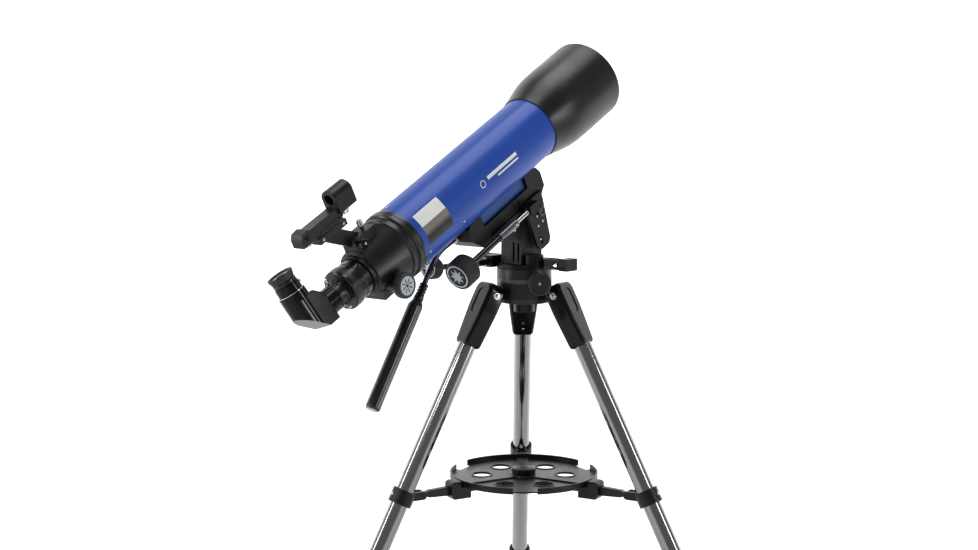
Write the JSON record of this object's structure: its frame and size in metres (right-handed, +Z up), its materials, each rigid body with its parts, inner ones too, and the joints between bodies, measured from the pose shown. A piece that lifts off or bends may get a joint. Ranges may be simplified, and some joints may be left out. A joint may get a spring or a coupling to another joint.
{
  "type": "refractor telescope",
  "caption": "Refractor telescope on a yoke mount with slow-motion rods, star diagonal, red-dot finder, extending tripod and accessory tray.",
  "frame": {"origin": "centre of the bounding box's bottom face", "axes": "+Z up, +Y away from the viewer of the picture, +X to their right; the tube points between +X and +Y, upward"},
  "size_m": [0.776, 0.8628, 1.13],
  "materials": {
    "black_plastic": "satin",
    "black_metal": "satin",
    "black_rubber": "matte",
    "blue_paint": "gloss",
    "stainless_steel": "polished",
    "chrome": "polished",
    "glass": "polished"
  },
  "bodies": {
    "tripod": {"tripod_hub": "black_plastic"},
    "azimuth_lock": {"azimuth_lock_knob": "black_plastic"},
    "leg_1": {"leg_head_1": "black_plastic", "leg_tube_1": "stainless_steel", "spreader_collar_1": "black_plastic", "lock_collar_1": "black_plastic"},
    "leg_lock_1": {"lock_knob_1": "black_plastic"},
    "leg_slider_1": {"lower_leg_1": "stainless_steel", "foot_1": "black_rubber"},
    "leg_2": {"leg_head_2": "black_plastic", "leg_tube_2": "stainless_steel", "spreader_collar_2": "black_plastic", "lock_collar_2": "black_plastic"},
    "leg_lock_2": {"lock_knob_2": "black_plastic"},
    "leg_slider_2": {"lower_leg_2": "stainless_steel", "foot_2": "black_rubber"},
    "leg_3": {"leg_head_3": "black_plastic", "leg_tube_3": "stainless_steel", "spreader_collar_3": "black_plastic", "lock_collar_3": "black_plastic"},
    "leg_lock_3": {"lock_knob_3": "black_plastic"},
    "leg_slider_3": {"lower_leg_3": "stainless_steel", "foot_3": "black_rubber"},
    "spreader": {"spreader_hub": "black_plastic", "accessory_tray": "black_plastic"},
    "arm_1": {"spreader_arm_1": "black_plastic"},
    "arm_2": {"spreader_arm_2": "black_plastic"},
    "arm_3": {"spreader_arm_3": "black_plastic"},
    "tray_lock": {"tray_knob": "black_plastic"},
    "mount": {"yoke": "black_metal", "altitude_pivot": "chrome"},
    "azimuth_drive": {"azimuth_rod": "black_metal", "azimuth_knob": "black_rubber"},
    "telescope": {"altitude_cradle": "black_metal", "side_plate": "black_metal", "tube_foot": "blue_paint", "main_tube": "blue_paint", "dew_shield": "black_plastic", "objective_cell": "black_metal", "crown_lens": "glass", "flint_lens": "glass", "focuser_body": "black_plastic", "finder_bracket": "black_plastic", "handle_rod": "black_metal", "handle_grip": "black_metal"},
    "altitude_drive": {"altitude_rod": "stainless_steel", "altitude_knob": "black_rubber"},
    "saddle_clamp": {"saddle_clamp_knob": "black_plastic"},
    "drawtube": {"drawtube": "black_metal"},
    "focus_drive": {"pinion_shaft": "stainless_steel", "focus_knob_right": "black_rubber", "focus_knob_left": "black_rubber"},
    "diagonal": {"diagonal_body": "black_plastic", "diagonal_mirror": "chrome"},
    "eyepiece": {"eyepiece": "black_metal", "eyecup": "black_rubber"},
    "finder": {"finder_body": "black_plastic", "finder_window": "glass"},
    "finder_knob": {"finder_adjust_knob": "chrome"},
    "bracket_screw": {"bracket_screw": "chrome"}
  },
  "joints": [
    {"name": "azimuth_lock_turn", "type": "hinge", "parent": "tripod", "child": "azimuth_lock", "pos_m": [0.024, -0.08433, 0.7315], "axis": [0, -1, 0], "range_deg": [0, 360]},
    {"name": "leg_1_fold", "type": "hinge", "parent": "tripod", "child": "leg_1", "pos_m": [0, 0.05467, 0.708], "axis": [-1, 0, 0], "range_deg": [0, 5]},
    {"name": "leg_lock_1_turn", "type": "hinge", "parent": "leg_1", "child": "leg_lock_1", "pos_m": [0, 0.34151, 0.1426], "axis": [0, 0.8918, 0.4524], "range_deg": [0, 360]},
    {"name": "leg_1_extend", "type": "slide", "parent": "leg_1", "child": "leg_slider_1", "axis": [0, 0.4524, -0.8918], "range_m": [-0.08, 0.35]},
    {"name": "leg_2_fold", "type": "hinge", "parent": "tripod", "child": "leg_2", "pos_m": [-0.05976, -0.04883, 0.708], "axis": [0.5, -0.866, 0], "range_deg": [0, 5]},
    {"name": "leg_lock_2_turn", "type": "hinge", "parent": "leg_2", "child": "leg_lock_2", "pos_m": [-0.30817, -0.19225, 0.1426], "axis": [-0.7723, -0.4459, 0.4524], "range_deg": [0, 360]},
    {"name": "leg_2_extend", "type": "slide", "parent": "leg_2", "child": "leg_slider_2", "axis": [-0.3918, -0.2262, -0.8918], "range_m": [-0.08, 0.35]},
    {"name": "leg_3_fold", "type": "hinge", "parent": "tripod", "child": "leg_3", "pos_m": [0.05976, -0.04883, 0.708], "axis": [0.5, 0.866, 0], "range_deg": [0, 5]},
    {"name": "leg_lock_3_turn", "type": "hinge", "parent": "leg_3", "child": "leg_lock_3", "pos_m": [0.30817, -0.19225, 0.1426], "axis": [0.7723, -0.4459, 0.4524], "range_deg": [0, 360]},
    {"name": "leg_3_extend", "type": "slide", "parent": "leg_3", "child": "leg_slider_3", "axis": [0.3918, -0.2262, -0.8918], "range_m": [-0.08, 0.35]},
    {"name": "spreader_lift", "type": "slide", "parent": "tripod", "child": "spreader", "axis": [0, 0, 1], "range_m": [0, 0.0824]},
    {"name": "arm_1_fold", "type": "hinge", "parent": "spreader", "child": "arm_1", "pos_m": [0, 0.02367, 0.3815], "axis": [-1, 0, 0], "range_deg": [0, 34.8]},
    {"name": "arm_2_fold", "type": "hinge", "parent": "spreader", "child": "arm_2", "pos_m": [-0.03291, -0.03333, 0.3815], "axis": [0.5, -0.866, 0], "range_deg": [0, 34.8]},
    {"name": "arm_3_fold", "type": "hinge", "parent": "spreader", "child": "arm_3", "pos_m": [0.03291, -0.03333, 0.3815], "axis": [0.5, 0.866, 0], "range_deg": [0, 34.8]},
    {"name": "tray_knob_turn", "type": "hinge", "parent": "spreader", "child": "tray_lock", "pos_m": [0, -0.01433, 0.395], "axis": [0, 0, 1], "range_deg": [0, 360]},
    {"name": "azimuth", "type": "hinge", "parent": "tripod", "child": "mount", "pos_m": [0, -0.01433, 0.7505], "axis": [0, 0, 1], "continuous": true},
    {"name": "azimuth_slow_motion", "type": "hinge", "parent": "mount", "child": "azimuth_drive", "pos_m": [-0.09867, -0.06218, 0.761], "axis": [0.6414, 0.7672, 0], "continuous": true},
    {"name": "altitude", "type": "hinge", "parent": "mount", "child": "telescope", "pos_m": [0, -0.01433, 0.848], "axis": [0.7672, -0.6414, 0], "range_deg": [-40, 13]},
    {"name": "altitude_slow_motion", "type": "hinge", "parent": "telescope", "child": "altitude_drive", "pos_m": [-0.03151, -0.11594, 0.82001], "axis": [0.569, 0.6805, 0.4618], "range_deg": [-2400, 780]},
    {"name": "saddle_clamp_turn", "type": "hinge", "parent": "telescope", "child": "saddle_clamp", "pos_m": [-0.08029, -0.048, 0.84495], "axis": [-0.7672, 0.6414, 0], "range_deg": [0, 360]},
    {"name": "focus", "type": "slide", "parent": "telescope", "child": "drawtube", "axis": [-0.569, -0.6805, -0.4618], "range_m": [0, 0.055]},
    {"name": "focus_knobs_turn", "type": "hinge", "parent": "telescope", "child": "focus_drive", "pos_m": [-0.23021, -0.28966, 0.75734], "axis": [0.7672, -0.6414, 0], "range_deg": [0, 544]},
    {"name": "diagonal_turn", "type": "hinge", "parent": "drawtube", "child": "diagonal", "pos_m": [-0.3226, -0.40016, 0.71697], "axis": [0.569, 0.6805, 0.4618], "range_deg": [-180, 180]},
    {"name": "eyepiece_draw", "type": "slide", "parent": "diagonal", "child": "eyepiece", "axis": [-0.5188, -0.1387, 0.8436], "range_m": [0, 0.02]},
    {"name": "finder_tilt", "type": "hinge", "parent": "telescope", "child": "finder", "pos_m": [-0.29112, -0.36251, 0.85356], "axis": [-0.7672, 0.6414, 0], "range_deg": [-1.5, 1.5]},
    {"name": "finder_knob_turn", "type": "hinge", "parent": "finder", "child": "finder_knob", "pos_m": [-0.27353, -0.34147, 0.87235], "axis": [-0.2962, -0.3542, 0.887], "range_deg": [0, 360]},
    {"name": "bracket_screw_turn", "type": "hinge", "parent": "telescope", "child": "bracket_screw", "pos_m": [-0.25423, -0.31839, 0.85137], "axis": [-0.2962, -0.3542, 0.887], "range_deg": [0, 360]}
  ],
  "couplings": [
    {"joint": "leg_2_fold", "follows": "leg_1_fold", "ratio": 1},
    {"joint": "leg_3_fold", "follows": "leg_1_fold", "ratio": 1},
    {"joint": "spreader_lift", "follows": "leg_1_fold", "m_per_rad": 0.943},
    {"joint": "arm_1_fold", "follows": "leg_1_fold", "ratio": 6.958},
    {"joint": "arm_2_fold", "follows": "leg_1_fold", "ratio": 6.958},
    {"joint": "arm_3_fold", "follows": "leg_1_fold", "ratio": 6.958},
    {"joint": "azimuth_slow_motion", "follows": "azimuth", "ratio": 60},
    {"joint": "altitude_slow_motion", "follows": "altitude", "ratio": 60},
    {"joint": "focus_knobs_turn", "follows": "focus", "rad_per_m": 172.4}
  ]
}
